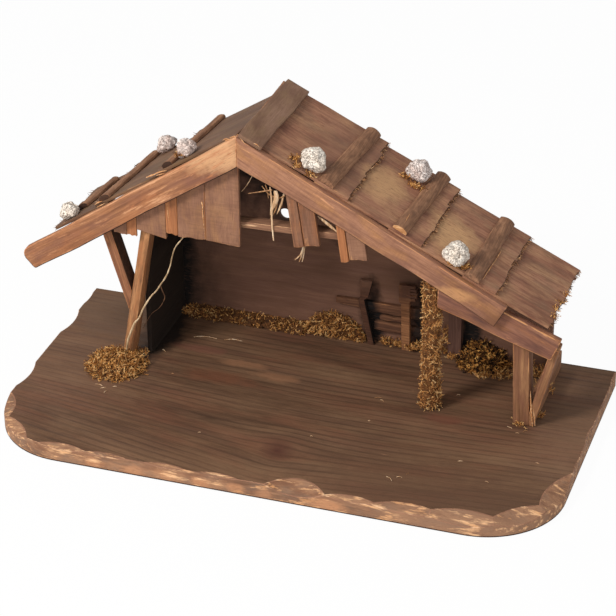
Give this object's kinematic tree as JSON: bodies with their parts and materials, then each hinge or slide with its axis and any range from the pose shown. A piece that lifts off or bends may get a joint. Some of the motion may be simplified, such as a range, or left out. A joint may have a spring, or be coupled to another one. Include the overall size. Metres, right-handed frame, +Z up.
{
  "type": "wooden nativity stable",
  "caption": "Rustic open-front nativity stable of hewn, splintered boards on a round-cornered base, with lapped roof boards weighted by stones, a small fence, moss and straw",
  "frame": {"origin": "centre of the underside of the base board, where the stable rests on a table", "axes": "+X to the right of the open front, +Y from the open front to the back wall, +Z up"},
  "size_m": [0.6147, 0.318, 0.3147],
  "materials": {
    "base_wood": "dark brown stain, worn pale along the hewn edge",
    "wall_wood": "dark purple-brown stain, dull",
    "frame_wood": "brown stain, dull, with worn corners",
    "barge_wood": "red-brown stain, dull, hewn edges worn orange",
    "plank_wood": "pink-brown stain, dull, with orange edges",
    "roof_wood": "grey-brown weathered softwood",
    "batten_wood": "dark grey-brown weathered softwood",
    "fence_wood": "dark red-brown stain, dull",
    "stone": null,
    "moss": "dried golden and olive moss",
    "straw": "dried straw, satin",
    "pale_twig": "bare dried twig, pale"
  },
  "bodies": {
    "root": {"base_board": "base_wood", "back_wall": "wall_wood", "left_side_wall": "wall_wood", "right_sill": "wall_wood", "left_post": "frame_wood", "left_brace": "frame_wood", "right_post": "frame_wood", "right_brace": "frame_wood", "mossy_post": "moss", "back_post": "frame_wood", "tie_beam": "frame_wood", "lower_rafter": "frame_wood", "ridge_beam": "frame_wood", "barge_left": "barge_wood", "barge_right": "barge_wood", "gable_plank_1": "plank_wood", "gable_plank_2": "plank_wood", "gable_plank_3": "plank_wood", "gable_plank_4": "plank_wood", "gable_plank_5": "plank_wood", "gable_plank_6": "plank_wood", "hanging_slat_1": "plank_wood", "hanging_slat_2": "plank_wood", "hanging_slat_3": "plank_wood", "hanging_slat_4": "plank_wood", "roof_board_left_1": "roof_wood", "roof_board_left_2": "roof_wood", "roof_board_left_3": "roof_wood", "roof_board_right_1": "roof_wood", "roof_board_right_2": "roof_wood", "roof_board_right_3": "roof_wood", "roof_board_right_4": "roof_wood", "ridge_board": "batten_wood", "batten_left_1": "batten_wood", "batten_left_2": "batten_wood", "batten_left_3": "batten_wood", "batten_right_1": "batten_wood", "batten_right_2": "batten_wood", "batten_right_3": "batten_wood", "fence_post_left": "fence_wood", "fence_post_right": "fence_wood", "fence_rail_top": "fence_wood", "fence_rail_middle": "fence_wood", "fence_rail_low": "fence_wood", "stone_1": "stone", "stone_2": "stone", "stone_3": "stone", "stone_4": "stone", "stone_5": "stone", "stone_6": "stone", "twig": "pale_twig", "straw_bundle": "straw", "moss_pile": "moss", "moss_edging": "moss", "moss_heap": "moss", "moss_clump": "moss", "moss_on_post": "moss"}
  },
  "joints": []
}
